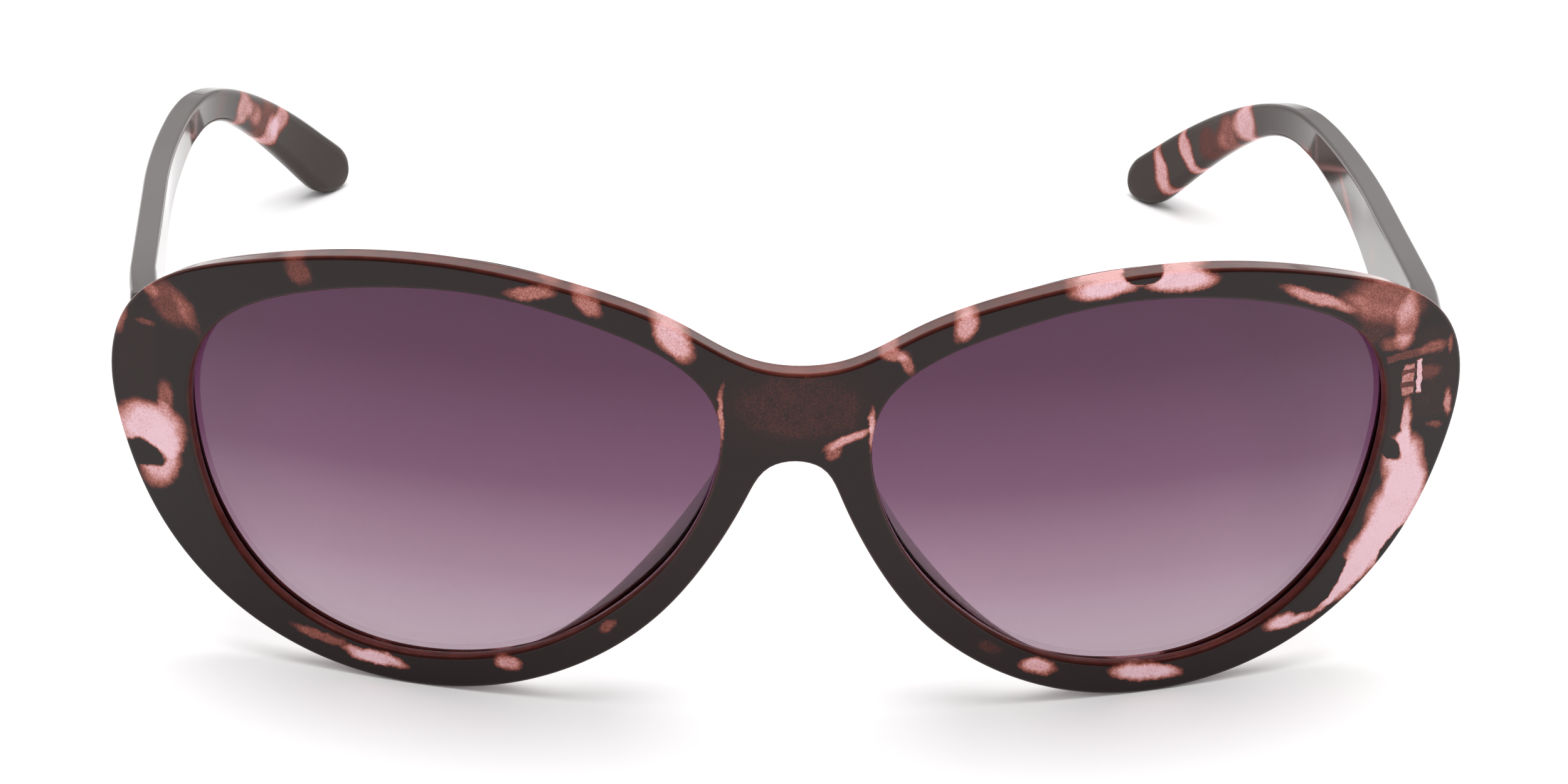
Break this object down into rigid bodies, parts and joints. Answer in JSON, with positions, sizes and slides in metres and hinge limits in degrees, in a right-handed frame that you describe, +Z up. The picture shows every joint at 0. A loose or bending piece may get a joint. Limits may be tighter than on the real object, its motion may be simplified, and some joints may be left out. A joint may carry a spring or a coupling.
{
  "type": "cat eye sunglasses",
  "caption": "Cat eye sunglasses standing open: bowed tortoise front with moulded nose pads, gradient lenses and hinged temples that fold in.",
  "frame": {"origin": "middle of the open sunglasses' bounding box, on the surface they stand on", "axes": "+Z up, front faces -Y, temples run towards +Y, the wearer's left lens is on +X"},
  "size_m": [0.1466, 0.1472, 0.0534],
  "materials": {
    "front_plastic": "glossy translucent tortoise",
    "temple_plastic": "glossy translucent tortoise",
    "lens_tint": "polished gradient tint, darker at the top",
    "hinge_metal": "satin nickel",
    "screw_steel": "satin"
  },
  "bodies": {
    "front": {"front_frame": "front_plastic", "lens_left": "lens_tint", "lens_right": "lens_tint", "front_hinge_left": "hinge_metal", "front_hinge_right": "hinge_metal", "hinge_screw_left": "screw_steel", "hinge_screw_right": "screw_steel"},
    "left_temple": {"temple_left": "temple_plastic", "temple_hinge_left": "hinge_metal"},
    "right_temple": {"temple_right": "temple_plastic", "temple_hinge_right": "hinge_metal"}
  },
  "joints": [
    {"name": "right_temple_hinge", "type": "hinge", "parent": "front", "child": "right_temple", "pos_m": [0.0669, -0.05002, 0.0334], "axis": [0, 0, 1], "range_deg": [0, 82]},
    {"name": "left_temple_hinge", "type": "hinge", "parent": "front", "child": "left_temple", "pos_m": [-0.0669, -0.05002, 0.0334], "axis": [0, 0, -1], "range_deg": [0, 73]}
  ]
}
